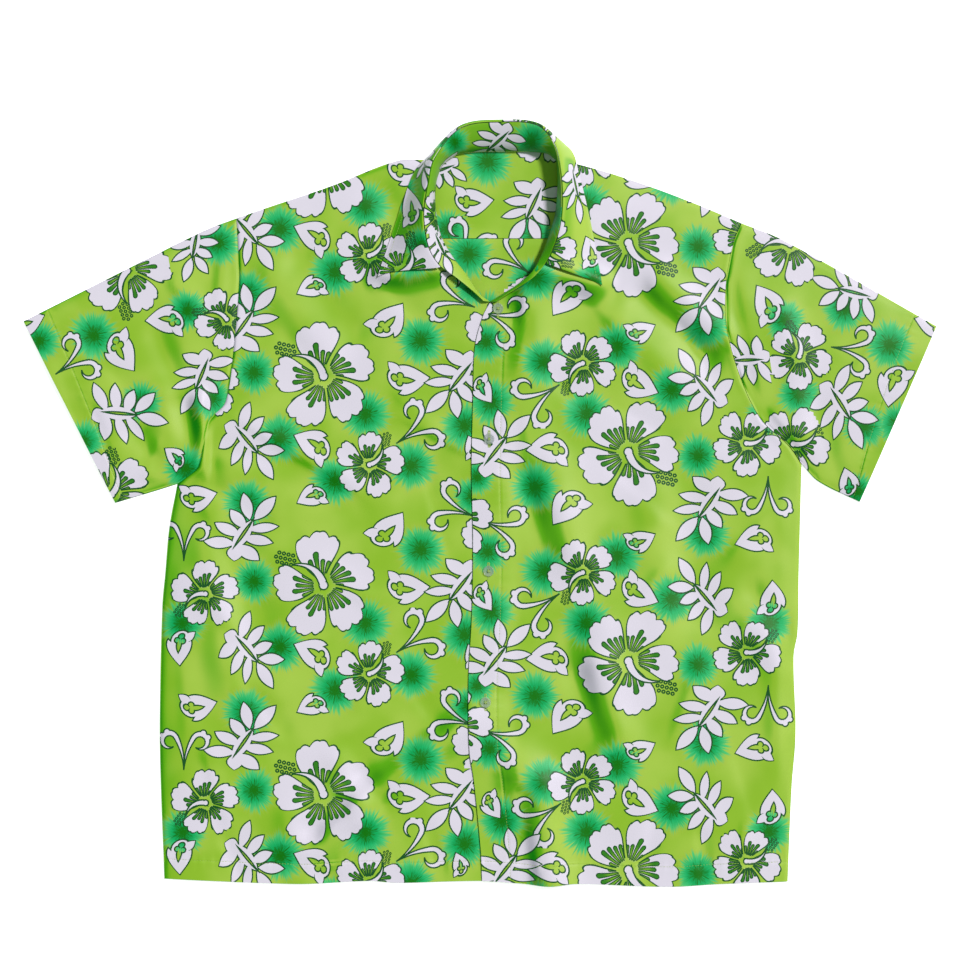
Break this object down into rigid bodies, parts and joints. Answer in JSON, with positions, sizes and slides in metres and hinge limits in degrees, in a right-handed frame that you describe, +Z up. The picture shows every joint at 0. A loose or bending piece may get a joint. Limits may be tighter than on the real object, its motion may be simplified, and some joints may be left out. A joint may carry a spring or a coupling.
{
  "type": "hawaiian shirt",
  "caption": "Short-sleeved hawaiian shirt laid flat on its back, with a turned-down collar, a buttoned front and an all-over hibiscus print on satin cloth.",
  "frame": {"origin": "on the surface the shirt lies on, under the middle of its outline", "axes": "+Y to the collar, +X to the wearer's left, which is the viewer's right, +Z up from the surface"},
  "size_m": [0.9598, 0.8041, 0.0335],
  "materials": {
    "cloth": "printed polyester satin, lime ground with white flowers and leaves",
    "thread": "lime sewing thread",
    "button": "translucent pearly plastic"
  },
  "bodies": {
    "root": {"back": "cloth", "yoke": "cloth", "front_left": "cloth", "front_right": "cloth", "sleeve_left": "cloth", "sleeve_right": "cloth", "collar_band": "cloth", "collar_leaf": "cloth", "button_1": "button", "button_2": "button", "button_3": "button", "button_4": "button"}
  },
  "joints": []
}
